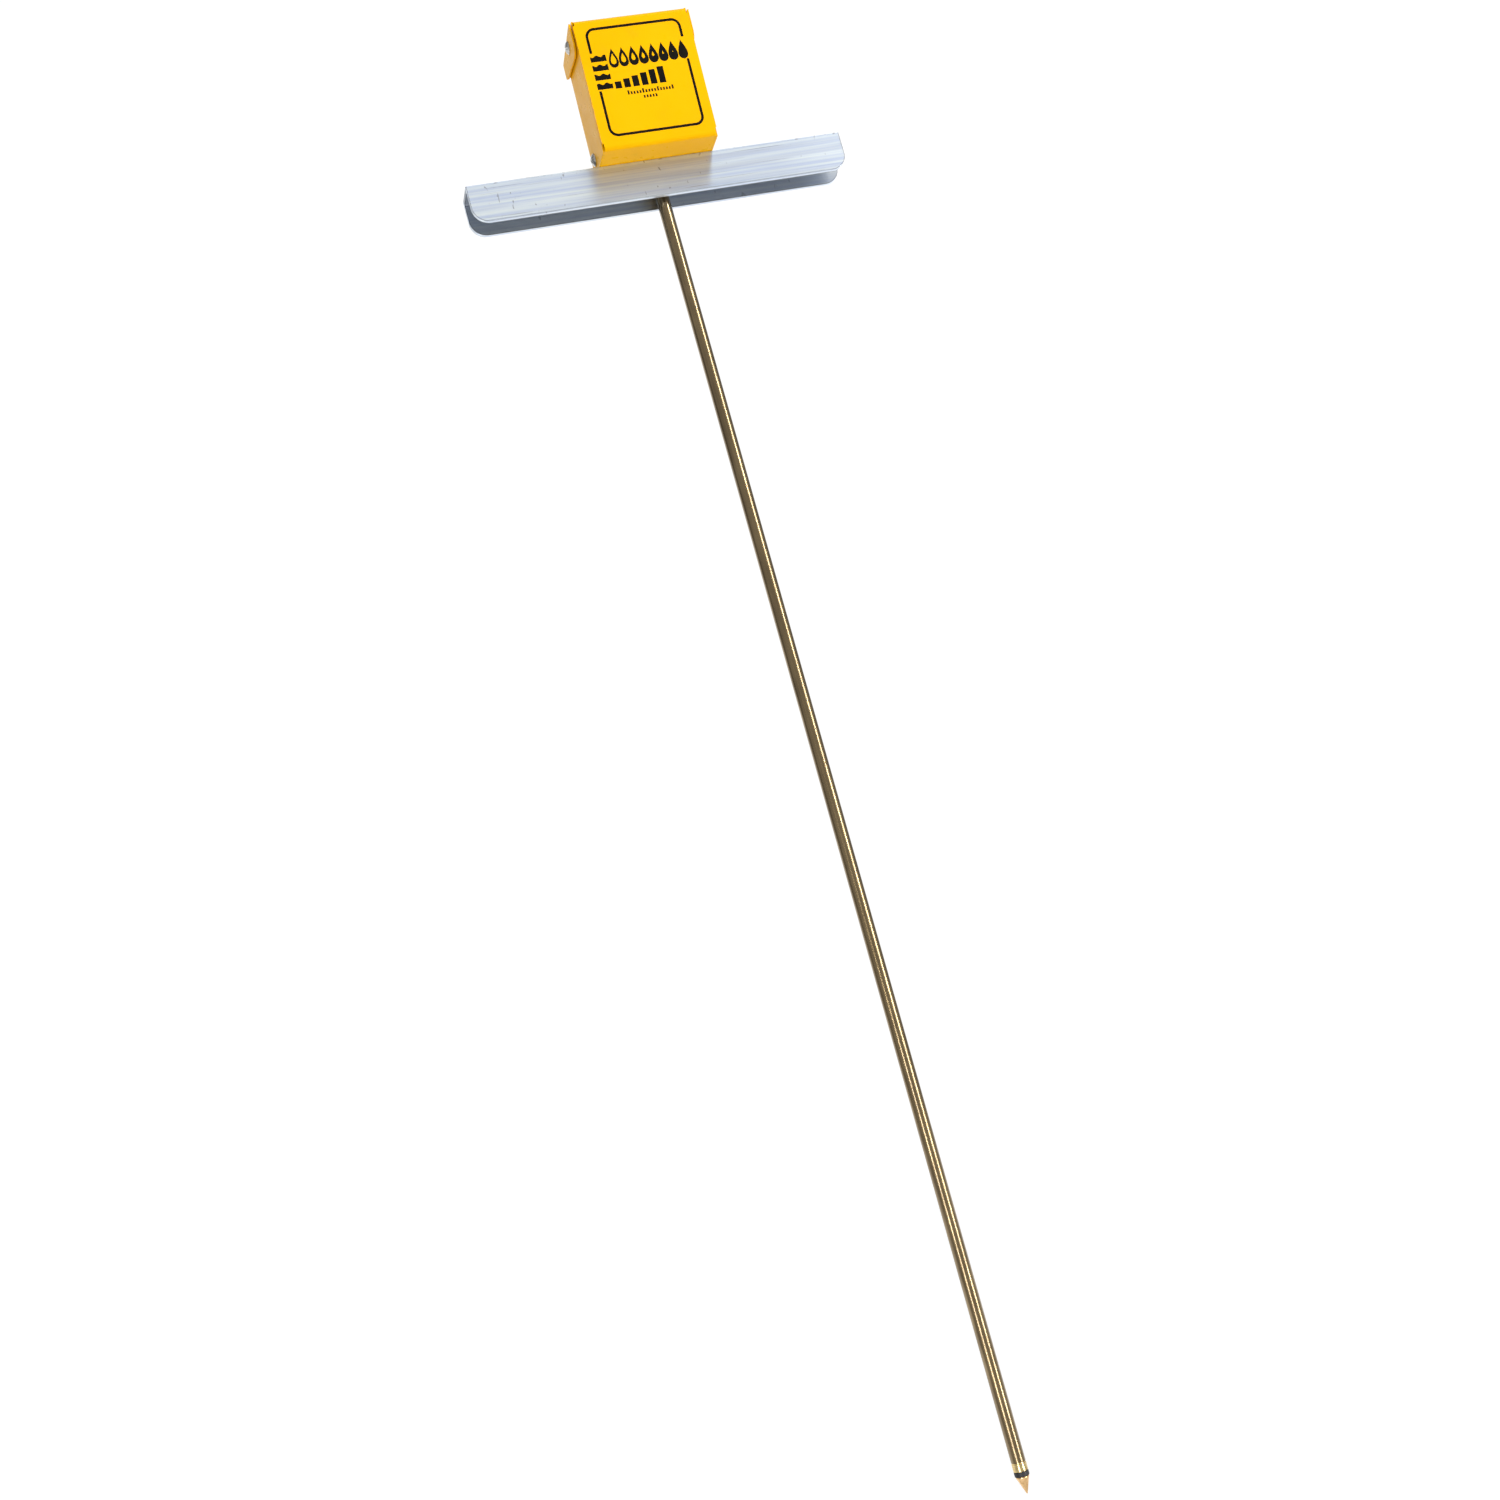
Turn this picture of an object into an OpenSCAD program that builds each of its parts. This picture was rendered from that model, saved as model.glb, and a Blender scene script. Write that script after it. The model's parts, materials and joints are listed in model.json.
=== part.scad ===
// Soil moisture meter: a long two-electrode probe under an aluminium T-handle, with a sheet-metal
// instrument box on top. The box leans away from the user. Its panel meter faces the user and has a
// flip-up cover.
// Frame: +Z up, +X along the handle, +Y towards the user, who reads the dial. The origin is on the
// probe's axis, at the underside of the shoulder where the bare probe tube begins.

/* [Handle] */
// Length of the channel
handle_len = 270; // [220:5:320]
// Outer width of the channel, across both flanges
handle_d = 23.6; // [22:0.2:26]
// Height of the flanges, web included
flange_h = 27.6; // [24:0.2:32]
// Thickness of the channel's web and flanges
channel_t = 3.2; // [2.4:0.1:3.6]
// Radius of the flanges' free lower corners
flange_corner_r = 11.5; // [6:0.5:16]

/* [Box] */
// Width of the box, across its side walls
box_w = 82; // [80:1:88]
// Depth of the box, front to back
box_d = 42; // [41:0.5:46]
// Height of the front of the box
box_h = 94; // [94:1:100]
// Lean of the box away from the user, in degrees
lean = 5.5; // [0:0.5:7]
// Slope of the box's top, down to its back, in degrees
roof_slope = 13; // [8:1:13]
// Thickness of the sheet metal
sheet_t = 1.2; // [1:0.1:1.5]
// Outer radius of the bends
bend_r = 3; // [1.8:0.1:3.2]
// How far the box stands out in front of the handle
box_overhang = 21.5; // [20:0.5:23]

/* [Probe] */
// Length of the probe, from the top of the handle to the point
probe_len = 914; // [600:2:1000]
// Outer diameter of the tube
tube_od = 9.525; // [9.525:0.025:9.6]
// Wall thickness of the tube
tube_wall = 0.9; // [0.8:0.05:1]
// Height of the brass end collar
collar_h = 5.5; // [4:0.5:8]
// Height of the insulating ring that shows
insulator_h = 3; // [2:0.5:5]
// Height of the pointed electrode
tip_h = 11; // [9:0.5:16]

/* [Dial cover] */
// Distance of the cover's pivot behind the box's front
pivot_back = 18; // [17:0.5:19]
// Distance of the cover's pivot below the top of the box's front
pivot_drop = 11; // [10.5:0.5:12]
// Gap between the box's back and the inside of the cover
cover_gap = 3; // [2.8:0.1:4]
// Distance of the ears' front edge behind the box's front
ear_front = 2.5; // [2:0.5:8]
// Height of the ears' lower edge above the handle, measured along the box
ear_rise = 71; // [68:0.5:72]
// Radius of the ears' lower corners
ear_corner_r = 7; // [4:0.5:8]
// Width of the plate that hangs over the dial
plate_w = 75; // [66:1:76]
// Height of the plate's lower edge above the handle, measured along the box
plate_rise = 9; // [7:1:12]

/* [Meter] */
// Side of the meter's square front
meter_size = 56; // [54:1:57]
// Radius of its round window
window_r = 21.2; // [20:0.2:21.6]
// Height of the meter's centre above the handle, measured along the leaning box
meter_rise = 55; // [55:0.5:56]
// Length of the pointer from its pivot
pointer_len = 20; // [16:0.5:20.5]

/* [Hidden] */

$fn = 64;
e = 0.01;                       // overrun of a cut past the face that it opens
play = 0.05;                    // radial clearance of a running fit
gap = 0.1;                      // clearance between sheets that lie side by side
seam = 0.9;                     // open seam between the box's front and its side walls

// Handle and box. The box is drawn upright: leaning() then tilts it about its lower front edge.
shoulder_h = 12;                                    // from the origin up to the web
web_top = shoulder_h + channel_t;
box_front = -handle_d / 2 - box_overhang;
box_back = box_front + box_d;
box_top = web_top + box_h;
floor_top = web_top + sheet_t;
inner_w = box_w - 2 * sheet_t;
cover_w = inner_w - 2 * gap;                        // width of the front cover's bent strip
cover_d = box_d - bend_r;                           // its depth, at the floor and at the roof
skirt = box_d * tan(lean) + 1;                      // what the walls need below, before they're trimmed
rivet_x = 28;
rivet_r = 2.4;

// Side tabs of the front cover, and the screws through them
tab_h = 18;
tab_front = box_front + 8;
tab_back = box_back - 5;
tab_in = cover_w / 2 - sheet_t;
low_screw_y = box_front + 30;
low_screw_z = web_top + 6.5;
screw_r = 2.4;
head_r = 4.5;
head_h = 2.4;
clinch_l = 3;

// Probe
tube_r = tube_od / 2;
tube_in = tube_r - tube_wall;
tube_len = probe_len - web_top - collar_h - insulator_h - tip_h;
tube_end = -tube_len;
collar_end = tube_end - collar_h;
insulator_end = collar_end - insulator_h;
tip_end = insulator_end - tip_h;
rod_r = 1.6;
rod_seat = 5;                   // depth of the rod in the pointed electrode
sleeve_r = 2.5;
stem_r = 3.95;
stem_top = floor_top + 8.6;
shoulder_r = 6.5;
spigot_l = 20;
terminal_z = stem_top + 2;
rod_top = terminal_z + 8;

// Flip-up cover
pivot_y = box_front + pivot_back;
pivot_z = box_top - pivot_drop;
cover_in = box_back + cover_gap;
cover_out = cover_in + sheet_t;
ear_in = box_w / 2 + 0.8;
ear_out = ear_in + sheet_t;
ear_low = web_top + ear_rise;
ear_drop = 1;                   // from the roof down to the ears' upper edge
washer_t = 0.8 - play;

// Meter
meter_z = web_top + meter_rise;
bezel_t = 2.2;
barrel_r = 23;
barrel_back = -13;
barrel_wall = 1.4;
magnet_back = -7;
magnet_in = 8.6;                // inner radius of the magnet ring
stud_r = 1.5;
post_x = 11;
post_z = meter_z + 6;
arbor_z = meter_z - 8;
arbor_r = 0.6;
mount_r = 10.6;                 // from the arbor to the posts that carry the bridges and the magnet
bridge_t = 1.2;
rear_bridge_y = -9.8;
dial_y = 4;
dial_t = 0.8;
pointer_y = 5.6;
rest_angle = 45;                // the pointer rests this far to the user's left of upright
stud_xz = meter_size / 2 - 4.5;
zero_z = meter_z - 24.6;
zero_r = 1.9;

// Calibration potentiometer
pot_x = 22;
pot_z = web_top + 16;
pot_body = 16;
pot_thread_r = 3.4;
pot_shaft_r = 1.5;

// Circuit board
board_y = -17;
board_t = 1.6;
board_w = 40;
board_h = 28;
board_low = meter_z - 14;

// Battery: one AA cell
cell_r = 7.1;
cell_l = 49;
cell_y = box_front + 11.5;
cell_z = floor_top + 9.2;
holder_l = 59;
wire_r = 0.8;

// ---- the leaning frame of the box ----

module leaning() {
    translate([0, box_front, web_top]) rotate([lean, 0, 0]) translate([0, -box_front, -web_top]) children();
}

// A point of the leaning frame, in the part's frame
function on_box(p) = let (y = p.y - box_front, z = p.z - web_top)
    [p.x, box_front + y * cos(lean) - z * sin(lean), web_top + y * sin(lean) + z * cos(lean)];

// All that lies below a level that stands so far above the handle, in the leaning frame
module under_level(rise) {
    translate([0, box_front, web_top]) rotate([-lean, 0, 0])
        translate([-box_w, -box_d, rise - box_d]) cube([2 * box_w, 3 * box_d, box_d]);
}

// All that lies above a slope so far under the roof's outside, in the leaning frame
module over_roof(drop) {
    translate([0, box_front, box_top]) rotate([-roof_slope, 0, 0])
        translate([-box_w, -box_d, -drop]) cube([2 * box_w, 3 * box_d, box_d]);
}

// ---- shapes that several parts share ----

// A cylinder along X from x0 to x1
module rod_x(x0, x1, r) {
    translate([x0, 0, 0]) rotate([0, 90, 0]) cylinder(r = r, h = x1 - x0);
}

// A cylinder along Y from y0 to y1
module rod_y(y0, y1, r) {
    translate([0, y1, 0]) rotate([90, 0, 0]) cylinder(r = r, h = y1 - y0);
}

// A ring round Z
module ring(r_out, r_in, h) {
    difference() {
        cylinder(r = r_out, h = h);
        translate([0, 0, -e]) cylinder(r = r_in, h = h + 2 * e);
    }
}

// A hexagonal nut round Z, its corners turned off
module hex_nut(across, r_in, h) {
    corner_r = across / 2 / cos(30);
    intersection() {
        difference() {
            rotate([0, 0, 30]) cylinder(r = corner_r, h = h, $fn = 6);
            translate([0, 0, -e]) cylinder(r = r_in, h = h + 2 * e);
        }
        cylinder(r1 = across / 2 + h, r2 = across / 2, h = h);
    }
}

// A rectangle with round corners, centred
module round_rect(w, h, r) {
    square([w - 2 * r, h], center = true);
    square([w, h - 2 * r], center = true);
    for (x = [-1, 1], y = [-1, 1]) translate([x * (w / 2 - r), y * (h / 2 - r)]) circle(r = r);
}

// A closed sheet-metal outline, w by h outside, with round bends
module sheet_loop(w, h) {
    difference() {
        round_rect(w, h, bend_r);
        round_rect(w - 2 * sheet_t, h - 2 * sheet_t, bend_r - sheet_t);
    }
}

// A slotted pan head on the plane z = 0, opening upwards
module pan_head(r, h) {
    dome_r = (r * r + h * h) / (2 * h) + 0.6;
    difference() {
        intersection() {
            cylinder(r = r, h = h);
            translate([0, 0, h - dome_r]) sphere(r = dome_r);
        }
        translate([-r, -0.55, h - 1.1]) cube([2 * r, 1.1, 2]);
    }
}

// The line that lies inside path p by an inset. The path leads clockwise, and its corners are bent.
function bent_line(p, inset) = let (
        steps = 10,
        last = len(p) - 1,
        inward = [for (i = [0 : last - 1]) let (along = unit(p[i + 1] - p[i])) [along.y, -along.x]],
        bends = [for (i = [1 : last - 1]) let (before = inward[i - 1], after = inward[i],
                centre = p[i] + bend_r * (before + after) / (1 + before * after))
            for (k = [0 : steps])
                let (turn = atan2(-before.y, -before.x) - acos(before * after) * k / steps)
                centre + (bend_r - inset) * [cos(turn), sin(turn)]])
    concat([p[0] + inset * inward[0]], bends, [p[last] + inset * inward[last - 1]]);

// A bent strip of sheet metal, seen on edge. Path p leads clockwise along its outside.
module bent_strip(p) {
    inside = bent_line(p, sheet_t);
    polygon(concat(bent_line(p, 0), [for (i = [len(inside) - 1 : -1 : 0]) inside[i]]));
}

function unit(v) = v / norm(v);

// A point on the smooth curve through points p, a share t of the way from p[i] to p[i + 1]
function on_curve(p, i, t) =
    let (a = p[max(i - 1, 0)], b = p[i], c = p[i + 1], d = p[min(i + 2, len(p) - 1)])
    0.5 * (2 * b + (c - a) * t + (2 * a - 5 * b + 4 * c - d) * t * t + (3 * b - a - 3 * c + d) * t * t * t);

// A round wire along the smooth curve through the points
module wire(points, r) {
    steps = 4;
    sides = 8;
    last = len(points) - 1;
    path = concat([for (i = [0 : last - 1], k = [0 : steps - 1]) on_curve(points, i, k / steps)],
        [points[last]]);
    n = len(path);
    across = [0.6, 0.75, -0.3];     // no wire runs this way
    rings = [for (i = [0 : n - 1])
        let (along = unit(path[min(i + 1, n - 1)] - path[max(i - 1, 0)]),
            u = unit(cross(along, across)), v = cross(along, u))
        for (k = [0 : sides - 1])
            let (turn = 360 * k / sides) path[i] + r * (cos(turn) * u + sin(turn) * v)];
    walls = [for (i = [0 : n - 2], k = [0 : sides - 1])
        let (next = (k + 1) % sides, low = i * sides, high = low + sides)
        [low + k, high + k, high + next, low + next]];
    ends = [[for (k = [0 : sides - 1]) k], [for (k = [sides - 1 : -1 : 0]) (n - 1) * sides + k]];
    polyhedron(rings, concat(walls, ends), convexity = 4);
}

// ---- handle ----

module handle_channel() {
    edge_r = 0.8;
    fillet_r = 1.2;
    color("gainsboro") difference() {
        translate([-handle_len / 2, 0, web_top - flange_h / 2])
            rotate([90, 0, 90])
                linear_extrude(handle_len) difference() {
                    round_rect(handle_d, flange_h, edge_r);
                    translate([0, -channel_t])
                        round_rect(handle_d - 2 * channel_t, flange_h, fillet_r);
                }
        for (s = [-1, 1])
            translate([s * (handle_len / 2 - flange_corner_r), 0, web_top - flange_h + flange_corner_r])
                difference() {
                    translate([s > 0 ? 0 : -flange_corner_r - 1, -handle_d, -flange_corner_r - 1])
                        cube([flange_corner_r + 1, 2 * handle_d, flange_corner_r + 1]);
                    rod_y(-handle_d - 1, handle_d + 1, flange_corner_r);
                }
        translate([0, 0, shoulder_h - 1]) cylinder(r = stem_r + play, h = channel_t + 2);
        for (x = [-rivet_x, rivet_x])
            translate([x, 0, shoulder_h - 1]) cylinder(r = rivet_r + play, h = channel_t + 2);
    }
}

module floor_rivets() {
    rivet_head_h = 1.6;
    color("silver") for (x = [-rivet_x, rivet_x]) translate([x, 0, 0]) {
        translate([0, 0, shoulder_h]) cylinder(r = rivet_r, h = channel_t + sheet_t);
        translate([0, 0, floor_top]) cylinder(r1 = 4, r2 = 3.2, h = 1);
        intersection() {
            translate([0, 0, shoulder_h - rivet_head_h]) cylinder(r = 4, h = rivet_head_h);
            translate([0, 0, shoulder_h - rivet_head_h + 6]) sphere(r = 6);
        }
    }
}

// ---- probe ----

module probe_tube() {
    color("darkgoldenrod") translate([0, 0, tube_end]) ring(tube_r, tube_in, tube_len);
}

module end_collar() {
    groove = 0.3;
    color("goldenrod") difference() {
        union() {
            translate([0, 0, collar_end]) cylinder(r = tube_r, h = collar_h);
            translate([0, 0, tube_end]) cylinder(r = tube_in - play, h = 15);
        }
        translate([0, 0, collar_end - e]) cylinder(r = sleeve_r + play, h = collar_h + 15 + 2 * e);
        translate([0, 0, tube_end - groove]) ring(tube_r + 1, tube_r - groove, groove + e);
    }
}

module tip_insulator() {
    color("black") translate([0, 0, insulator_end]) ring(tube_r, rod_r + play, insulator_h);
}

module tip_electrode() {
    land = 1;
    point_r = 0.5;
    color("peru") difference() {
        translate([0, 0, tip_end]) rotate_extrude() {
            polygon([[0, point_r], [point_r, point_r], [tube_r - 0.4, tip_h - land],
                [tube_r - 0.4, tip_h], [0, tip_h]]);
            intersection() {
                translate([0, point_r]) circle(r = point_r);
                square([point_r, point_r]);
            }
        }
        translate([0, 0, insulator_end - rod_seat]) cylinder(r = rod_r + play, h = rod_seat + e);
    }
}

module conductor_rod() {
    color("goldenrod") translate([0, 0, insulator_end - rod_seat + play])
        cylinder(r = rod_r, h = rod_top - insulator_end + rod_seat - play);
}

module conductor_sleeve() {
    color("ivory") translate([0, 0, collar_end]) ring(sleeve_r, rod_r + play, stem_top - collar_end);
}

module probe_bushing() {
    chamfer = 0.8;
    flat_y = 5.5;
    color("goldenrod") difference() {
        union() {
            translate([0, 0, -spigot_l]) cylinder(r = tube_in - play, h = spigot_l);
            cylinder(r1 = shoulder_r - chamfer, r2 = shoulder_r, h = chamfer);
            translate([0, 0, chamfer]) cylinder(r = shoulder_r, h = shoulder_h - chamfer);
            translate([0, 0, shoulder_h]) cylinder(r = stem_r, h = stem_top - shoulder_h);
        }
        translate([0, 0, -spigot_l - e]) cylinder(r = sleeve_r + play, h = stem_top + spigot_l + 2 * e);
        // two flats for a spanner
        for (s = [0, 1]) rotate([0, 0, 180 * s]) translate([-shoulder_r, flat_y, 3])
            cube([2 * shoulder_r, shoulder_r, shoulder_h - 5]);
    }
}

module ground_lug() {
    lug_t = 0.8;
    color("silver") difference() {
        union() {
            translate([0, 0, floor_top]) cylinder(r = 6.4, h = lug_t);
            translate([0, -2, floor_top]) cube([14, 4, lug_t]);
            translate([0, 0, floor_top + 1.6]) rod_x(11, 17, 1.6);
        }
        translate([0, 0, floor_top - e]) cylinder(r = stem_r + play, h = 3);
        translate([0, 0, floor_top + 1.6]) rod_x(12, 17 + e, 1);
    }
}

module lock_washer() {
    color("silver") translate([0, 0, floor_top + 0.8]) difference() {
        ring(6.4, stem_r + play, 1.2);
        rotate([0, 0, 200]) translate([0, -0.6, -e]) cube([8, 1.2, 2]);
    }
}

module probe_nut() {
    // a flat faces the box's back wall, which a corner would touch
    color("goldenrod") translate([0, 0, floor_top + 2]) rotate([0, 0, 30])
        hex_nut(12.7, stem_r + play, 5.2);
}

module terminal_washer() {
    color("ivory") translate([0, 0, stem_top]) ring(4.6, rod_r + play, 2);
}

module terminal_nuts() {
    color("goldenrod") for (z = [terminal_z, terminal_z + 3.2])
        translate([0, 0, z]) hex_nut(6.4, rod_r + play, 2.4);
}

module terminal_lug() {
    lug_t = 0.8;
    z = terminal_z + 2.4;
    color("silver") difference() {
        union() {
            translate([0, 0, z]) cylinder(r = 3.4, h = lug_t);
            translate([-10, -1.5, z]) cube([10, 3, lug_t]);
            translate([0, 0, z + 1.4]) rod_x(-13, -8, 1.4);
        }
        translate([0, 0, z - e]) cylinder(r = rod_r + play, h = 3);
        translate([0, 0, z + 1.4]) rod_x(-13 - e, -9, 0.9);
    }
}

// ---- box ----

module front_cover() {
    relief = 1.5 * bend_r;
    corner = [box_front, web_top];
    top_corner = [box_front, box_top];
    color("gold") difference() {
        leaning() union() {
            // one strip bent round the floor, the front and the roof
            translate([-cover_w / 2, 0, 0]) rotate([90, 0, 90]) linear_extrude(cover_w)
                bent_strip([corner + cover_d * [cos(lean), -sin(lean)], corner, top_corner,
                    top_corner + cover_d * [1, -tan(roof_slope)]]);
            // the front's full width, between its bends
            translate([0, box_front + sheet_t, web_top + box_h / 2]) rotate([90, 0, 0])
                linear_extrude(sheet_t) round_rect(box_w, box_h - 2 * relief, 1.5);
            // tabs behind the side walls
            difference() {
                for (s = [-1, 1], top = [floor_top + tab_h, box_top])
                    translate([s > 0 ? tab_in : -tab_in - sheet_t, tab_front, top - tab_h - skirt])
                        cube([sheet_t, tab_back - tab_front, tab_h + skirt]);
                under_level(sheet_t / 2);
                over_roof(sheet_t / 2);
            }
        }
        leaning() for (s = [-1, 1]) {
            translate([s * tab_in, pivot_y, pivot_z]) rod_x(-3, 3, screw_r + play);
            translate([s * tab_in, low_screw_y, low_screw_z]) rod_x(-3, 3, screw_r + play);
        }
        translate([0, 0, web_top - 1]) cylinder(r = stem_r + play, h = 4);
        for (x = [-rivet_x, rivet_x]) translate([x, 0, web_top - 1]) cylinder(r = rivet_r + play, h = 4);
    }
}

module rear_housing() {
    wall_front = box_front + sheet_t + seam;
    color("gold") leaning() difference() {
        translate([0, 0, web_top - skirt]) linear_extrude(box_h + skirt) intersection() {
            translate([0, box_back - box_d]) sheet_loop(box_w, 2 * box_d);
            translate([-box_w / 2, wall_front]) square([box_w, box_back - wall_front]);
        }
        under_level(0);
        over_roof(0);
        for (s = [-1, 1]) {
            translate([s * box_w / 2, pivot_y, pivot_z]) rod_x(-3, 3, screw_r + play);
            translate([s * box_w / 2, low_screw_y, low_screw_z]) rod_x(-3, 3, screw_r + play);
        }
        translate([0, 0, meter_z]) rod_y(box_back - 3, box_back + 1, barrel_r + 0.25);
        for (x = [-1, 1], z = [-1, 1])
            translate([x * stud_xz, 0, meter_z + z * stud_xz]) rod_y(box_back - 3, box_back + 1, 1.7);
        translate([pot_x, 0, pot_z]) rod_y(box_back - 3, box_back + 1, pot_thread_r + play);
    }
}

module side_screws() {
    color("silver") leaning() for (turn = [0, 180])
        translate([0, low_screw_y, low_screw_z]) rotate([0, 0, turn]) {
            rod_x(tab_in - clinch_l - 1, box_w / 2, screw_r);
            translate([box_w / 2, 0, 0]) rotate([0, 90, 0]) rotate([0, 0, 35])
                pan_head(head_r, head_h + 0.4);
        }
}

module clinch_nuts() {
    color("silver") leaning() for (s = [-1, 1]) translate([s * tab_in, low_screw_y, low_screw_z])
        rotate([0, s > 0 ? -90 : 90, 0]) ring(4.2, screw_r + play, clinch_l);
}

// ---- flip-up dial cover and its pivots ----

module pivot_screws() {
    color("silver") leaning() for (turn = [0, 180])
        translate([0, pivot_y, pivot_z]) rotate([0, 0, turn]) {
            rod_x(tab_in - clinch_l - 1, ear_out + play, screw_r);
            translate([ear_out + play, 0, 0]) rotate([0, 90, 0]) rotate([0, 0, 70])
                pan_head(head_r, head_h);
        }
}

module pivot_washers() {
    color("white") leaning() for (s = [-1, 1]) translate([s * box_w / 2, pivot_y, pivot_z])
        rotate([0, s * 90, 0]) ring(5, screw_r + play, washer_t);
}

module pivot_nuts() {
    color("silver") leaning() for (s = [-1, 1]) translate([s * tab_in, pivot_y, pivot_z])
        rotate([0, s > 0 ? -90 : 90, 0]) hex_nut(8, screw_r + play, clinch_l);
}

module dial_cover() {
    ear_l = cover_out - box_front - ear_front;
    lap = 7;                        // of the plate over the band
    plate_low = web_top + plate_rise;
    plate_h = ear_low + lap - plate_low;
    color("gold") leaning() difference() {
        union() {
            // the band: two ears and the strip that joins them
            translate([0, 0, ear_low]) linear_extrude(box_top - ear_low) intersection() {
                translate([0, cover_out - box_d]) sheet_loop(2 * ear_out, 2 * box_d);
                translate([-ear_out, box_front + ear_front]) square([2 * ear_out, ear_l]);
            }
            // the plate over the dial, with round corners
            translate([0, cover_out, plate_low + plate_h / 2]) rotate([90, 0, 0])
                linear_extrude(sheet_t) round_rect(plate_w, plate_h, 6);
        }
        over_roof(ear_drop);
        // round lower corners of the ears, at the front and at the back
        for (s = [-1, 1], back = [0, 1])
            translate([s * ear_out, back ? cover_out : box_front + ear_front, ear_low])
                rotate([0, 0, back ? 180 : 0]) ear_corner_cut();
        translate([0, pivot_y, pivot_z]) rod_x(-box_w, box_w, screw_r + play);
    }
}

// What rounds off an ear's lower front corner, from that corner as origin
module ear_corner_cut() {
    over = 1;
    difference() {
        translate([-5, -over, -over]) cube([10, ear_corner_r + over, ear_corner_r + over]);
        translate([0, ear_corner_r, ear_corner_r]) rod_x(-6, 6, ear_corner_r);
    }
}

module cover_bumpers() {
    color("black") leaning() for (s = [-1, 1])
        translate([s * (plate_w / 2 - 4), 0, web_top + plate_rise + 4])
            rod_y(box_back, cover_in - play, 3);
}

// ---- meter ----

module meter_case() {
    color([0.12, 0.12, 0.13]) leaning() difference() {
        translate([0, 0, meter_z]) rod_y(barrel_back, box_back, barrel_r);
        // the bore is wider from the dial outwards, so the dial rests on a ledge
        translate([0, 0, meter_z]) {
            rod_y(barrel_back + barrel_wall, box_back + 1, barrel_r - barrel_wall - 1);
            rod_y(dial_y, box_back + 1, barrel_r - barrel_wall);
        }
        for (x = [-post_x, post_x]) translate([x, 0, post_z]) rod_y(barrel_back - 1, 0, 1.5 + play);
    }
    // pillars carry the movement
    color([0.12, 0.12, 0.13]) leaning() for (s = [-1, 1])
        translate([0, 0, arbor_z + s * mount_r]) rod_y(barrel_back + barrel_wall, magnet_back, 1.5);
}

module meter_bezel() {
    color([0.12, 0.12, 0.13]) leaning() difference() {
        union() {
            translate([0, box_back + bezel_t, meter_z]) rotate([90, 0, 0])
                linear_extrude(bezel_t) round_rect(meter_size, meter_size, 4);
            for (x = [-1, 1], z = [-1, 1])
                translate([x * stud_xz, 0, meter_z + z * stud_xz]) rod_y(0, box_back + 1, stud_r);
        }
        translate([0, 0, meter_z]) rod_y(box_back - 1, box_back + 9, window_r - 0.8);
        translate([0, 0, meter_z]) rod_y(box_back + 0.9, box_back + 9, window_r);
        translate([0, 0, zero_z]) rod_y(box_back - 1, box_back + 9, zero_r + play);
    }
}

module meter_window() {
    color([0.8, 0.9, 0.95, 0.4]) leaning() translate([0, 0, meter_z])
        rod_y(box_back + 0.9, box_back + 1.9, window_r - play);
}

module dial_plate() {
    color("white") leaning() difference() {
        translate([0, 0, meter_z]) rod_y(dial_y, dial_y + dial_t, barrel_r - barrel_wall - play);
        translate([0, 0, arbor_z]) rod_y(dial_y - 1, dial_y + 2, 4);
    }
}

module meter_magnet() {
    color("dimgray") leaning() translate([0, 0, arbor_z]) difference() {
        rod_y(magnet_back, 0, 12.4);
        rod_y(magnet_back - 1, 1, magnet_in);
    }
}

module magnet_core() {
    color("silver") leaning() translate([0, 0, arbor_z]) {
        rod_y(-6, -1, 5.6);
        // a strap carries the core, in the quarter that the coil never reaches
        for (s = [-1, 1]) translate([s > 0 ? 5 : 0.1 - magnet_in, -4.5, -0.8])
            cube([magnet_in - 5.1, 2, 1.6]);
    }
}

module bridge(y, t) {
    translate([0, 0, arbor_z]) difference() {
        union() {
            translate([-12, y, -2.2]) cube([24, t, 4.4]);
            rod_y(y, y + t, 3);
        }
        rod_y(y - 1, y + t + 1, arbor_r + play);
        for (s = [-1, 1]) translate([s * mount_r, 0, 0]) rod_y(y - 1, y + t + 1, 0.8);
    }
}

module front_bridge() {
    color("goldenrod") leaning() {
        bridge(1.6, bridge_t);
        for (s = [-1, 1]) translate([s * mount_r, 0, arbor_z]) rod_y(0, 1.6 + bridge_t, 0.8);
    }
}

module rear_bridge() {
    color("goldenrod") leaning() {
        bridge(rear_bridge_y, bridge_t);
        for (s = [-1, 1]) translate([s * mount_r, 0, arbor_z]) rod_y(rear_bridge_y, magnet_back, 0.8);
    }
}

module pointer() {
    hub_r = 1.8;
    color("black") leaning() translate([0, 0, arbor_z]) rotate([0, rest_angle, 0]) {
        rod_y(pointer_y - 0.4, pointer_y + 0.6, hub_r);
        translate([0, pointer_y + 0.4, 0]) rotate([90, 0, 0]) linear_extrude(0.4)
            polygon([[-0.6, 0], [-0.18, pointer_len], [0.18, pointer_len], [0.6, 0],
                [0.5, -5], [-0.5, -5]]);
        translate([0, 0, -5.2]) rod_y(pointer_y - 0.3, pointer_y + 0.5, 1.1);
    }
}

module pointer_coil() {
    coil_r = 7.4;
    color("sienna") leaning() translate([0, 0, arbor_z]) rotate([0, rest_angle, 0]) {
        difference() {
            translate([-2, -7.8, -coil_r]) cube([4, 8.6, 2 * coil_r]);
            translate([-3, -6.8, -coil_r + 1.2]) cube([6, 6.6, 2 * coil_r - 2.4]);
        }
        rod_y(0.8, pointer_y - 0.4, arbor_r);
        rod_y(-9.4, -7.8, arbor_r);
    }
}

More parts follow.
